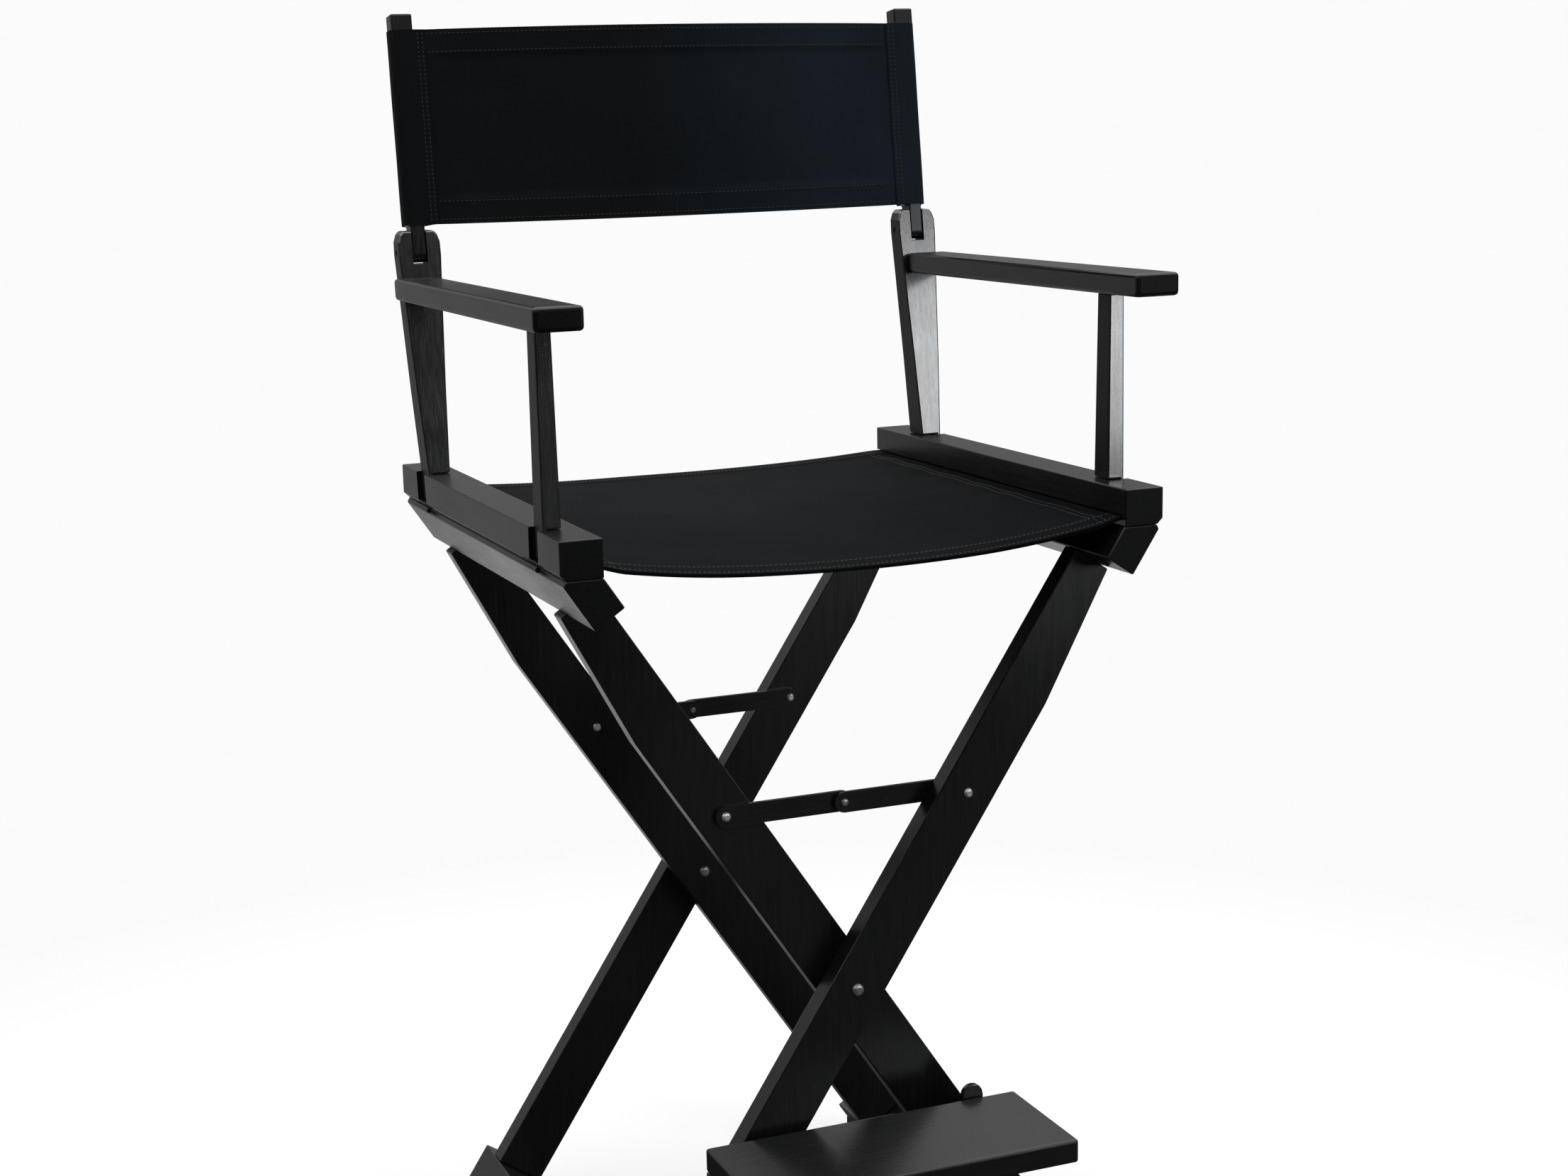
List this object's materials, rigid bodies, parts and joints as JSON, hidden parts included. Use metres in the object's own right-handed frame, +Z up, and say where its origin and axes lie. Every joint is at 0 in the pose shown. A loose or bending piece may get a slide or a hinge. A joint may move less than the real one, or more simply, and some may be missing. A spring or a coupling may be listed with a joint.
{
  "type": "director chair",
  "caption": "Tall folding director chair: crossed wooden leg frames, canvas seat and back, flat arms, fold-down back and a swing-up board footrest.",
  "frame": {"origin": "on the floor, under the middle of the whole chair: halfway across its width, and halfway between the front of the footrest and the rear ends of the rails", "axes": "+X to the right seen from the front, +Y toward the back of the chair, +Z up; the front faces -Y"},
  "size_m": [0.561, 0.56, 1.1909],
  "materials": {
    "black_wood": "satin",
    "canvas": "matt",
    "dark_metal": "satin",
    "bright_screws": "satin"
  },
  "bodies": {
    "runner_left": {"runner_left": "black_wood", "hinge_low_left_front": "dark_metal", "hinge_low_left_rear": "dark_metal"},
    "frame_b": {"leg_b_front": "black_wood", "leg_b_rear": "black_wood", "cleat_top_b": "black_wood", "cleat_low_b": "black_wood", "cross_bolt_front": "dark_metal", "cross_bolt_rear": "dark_metal", "cross_spacer_front": "dark_metal", "cross_spacer_rear": "dark_metal", "brace_screw_right_front": "bright_screws", "brace_screw_right_rear": "bright_screws", "footrest_bolt": "dark_metal"},
    "frame_a": {"leg_a_front": "black_wood", "leg_a_rear": "black_wood", "cleat_top_a": "black_wood", "cleat_low_a": "black_wood", "brace_screw_left_front": "bright_screws", "brace_screw_left_rear": "bright_screws", "footrest_peg": "dark_metal"},
    "runner_right": {"runner_right": "black_wood", "hinge_low_right_front": "dark_metal", "hinge_low_right_rear": "dark_metal"},
    "side_left": {"seat_rail_left": "black_wood", "arm_left": "black_wood", "front_post_left": "black_wood", "rear_post_left": "black_wood", "back_pin_left": "dark_metal", "seat_dowel_left": "black_wood", "seat_cloth_left": "canvas", "hinge_top_left_front": "dark_metal", "hinge_top_left_rear": "dark_metal"},
    "back_left": {"back_stick_left": "black_wood", "back_cloth_left": "canvas"},
    "brace_left": {"brace_left_front": "black_wood", "brace_left_rear": "black_wood", "brace_rivet_left_front": "bright_screws", "brace_rivet_left_rear": "bright_screws"},
    "side_right": {"seat_rail_right": "black_wood", "arm_right": "black_wood", "front_post_right": "black_wood", "rear_post_right": "black_wood", "back_pin_right": "dark_metal", "seat_dowel_right": "black_wood", "seat_cloth_right": "canvas", "hinge_top_right_front": "dark_metal", "hinge_top_right_rear": "dark_metal"},
    "back_right": {"back_stick_right": "black_wood", "back_cloth_right": "canvas"},
    "brace_right": {"brace_right_front": "black_wood", "brace_right_rear": "black_wood", "brace_rivet_right_front": "bright_screws", "brace_rivet_right_rear": "bright_screws"},
    "footrest": {"footrest_board": "black_wood", "footrest_apron": "black_wood", "footrest_ear": "black_wood"}
  },
  "joints": [
    {"name": "fold", "type": "hinge", "parent": "runner_left", "child": "frame_b", "pos_m": [-0.24285, -0.158, 0.0332], "axis": [0, -1, 0], "range_deg": [0, 27]},
    {"name": "scissor", "type": "hinge", "parent": "frame_b", "child": "frame_a", "pos_m": [0, -0.158, 0.355], "axis": [0, 1, 0], "range_deg": [0, 54]},
    {"name": "runner_turn", "type": "hinge", "parent": "frame_a", "child": "runner_right", "pos_m": [0.24285, -0.158, 0.0332], "axis": [0, -1, 0], "range_deg": [0, 27]},
    {"name": "rail_turn_right", "type": "hinge", "parent": "frame_b", "child": "side_right", "pos_m": [0.2665, -0.158, 0.7433], "axis": [0, 1, 0], "range_deg": [0, 27]},
    {"name": "rail_turn_left", "type": "hinge", "parent": "frame_a", "child": "side_left", "pos_m": [-0.2665, -0.158, 0.7433], "axis": [0, -1, 0], "range_deg": [0, 27], "deforming": ["seat_cloth_left", "seat_cloth_right", "back_cloth_left", "back_cloth_right"]},
    {"name": "brace_fold_right", "type": "hinge", "parent": "frame_b", "child": "brace_right", "pos_m": [0.1068, -0.158, 0.51575], "axis": [0, 1, 0], "range_deg": [0, 105.01]},
    {"name": "brace_fold_left", "type": "hinge", "parent": "frame_a", "child": "brace_left", "pos_m": [-0.1068, -0.158, 0.51575], "axis": [0, -1, 0], "range_deg": [0, 105.01]},
    {"name": "back_fold", "type": "hinge", "parent": "side_left", "child": "back_left", "pos_m": [-0.253, 0.23643, 0.976], "axis": [1, 0, 0], "range_deg": [0, 90]},
    {"name": "back_fold_right", "type": "hinge", "parent": "side_right", "child": "back_right", "pos_m": [0.253, 0.23643, 0.976], "axis": [1, 0, 0], "range_deg": [0, 90]},
    {"name": "footrest_swing", "type": "hinge", "parent": "frame_b", "child": "footrest", "pos_m": [-0.10032, -0.158, 0.204], "axis": [0, -1, 0], "range_deg": [0, 60]}
  ],
  "couplings": [
    {"joint": "scissor", "follows": "fold", "ratio": 2},
    {"joint": "runner_turn", "follows": "fold", "ratio": 1},
    {"joint": "rail_turn_right", "follows": "fold", "ratio": 1},
    {"joint": "rail_turn_left", "follows": "fold", "ratio": 1},
    {"joint": "brace_fold_right", "follows": "fold", "ratio": 3.8894},
    {"joint": "brace_fold_left", "follows": "fold", "ratio": 3.8894},
    {"joint": "back_fold_right", "follows": "back_fold", "ratio": 1}
  ]
}
